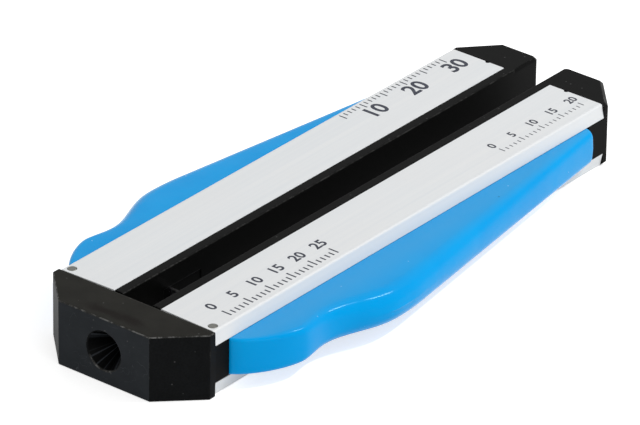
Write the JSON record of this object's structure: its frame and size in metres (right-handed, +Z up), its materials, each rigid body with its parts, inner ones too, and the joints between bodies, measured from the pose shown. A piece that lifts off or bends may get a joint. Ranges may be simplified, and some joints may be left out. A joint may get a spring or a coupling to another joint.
{
  "type": "fibre optic stripper",
  "caption": "Pinch-type fibre stripper: nose block with funnel and guide tube, two hinged arms with inlaid plates, humped side grips and notched blades.",
  "frame": {"origin": "middle of the tool's length and width, on the face it lies on", "axes": "+Y from the nose to the open end of the arms, +X to the right arm seen from above with the nose towards the viewer, +Z up"},
  "size_m": [0.0502, 0.1086, 0.0108],
  "materials": {
    "black_parts": "black anodised, satin, edges worn a little brighter",
    "white_plates": "white moulded plastic, satin gloss",
    "blue_grips": "bright blue moulded plastic, gloss",
    "steel_parts": "ground steel",
    "blade_steel": "hardened and ground",
    "spring_steel": "blued spring strip"
  },
  "bodies": {
    "nose": {"nose_block": "black_parts", "guide_tube": "steel_parts", "left_return_spring": "spring_steel", "right_return_spring": "spring_steel"},
    "left_arm": {"left_arm_core": "black_parts", "left_top_plate": "white_plates", "left_bottom_plate": "white_plates", "left_grip": "blue_grips", "left_grip_dowels": "steel_parts", "left_pivot_pin": "steel_parts", "left_blade": "blade_steel", "left_blade_dowel": "steel_parts", "left_blade_holder": "black_parts", "left_holder_screw": "steel_parts"},
    "right_arm": {"right_arm_core": "black_parts", "right_top_plate": "white_plates", "right_bottom_plate": "white_plates", "right_grip": "blue_grips", "right_grip_dowels": "steel_parts", "right_pivot_pin": "steel_parts", "right_blade": "blade_steel", "right_blade_dowel": "steel_parts", "right_blade_holder": "black_parts", "right_holder_screw": "steel_parts"}
  },
  "joints": [
    {"name": "left_arm_squeeze", "type": "hinge", "parent": "nose", "child": "left_arm", "pos_m": [-0.0135, -0.0456, 0.0054], "axis": [0, 0, -1], "range_deg": [0, 1.53], "stiffness_Nm_per_rad": 1.5, "springref_deg": -1.72, "deforming": ["left_return_spring"]},
    {"name": "right_arm_squeeze", "type": "hinge", "parent": "nose", "child": "right_arm", "pos_m": [0.0135, -0.0456, 0.0054], "axis": [0, 0, 1], "range_deg": [0, 1.53], "stiffness_Nm_per_rad": 1.5, "springref_deg": -1.72, "deforming": ["right_return_spring"]}
  ]
}
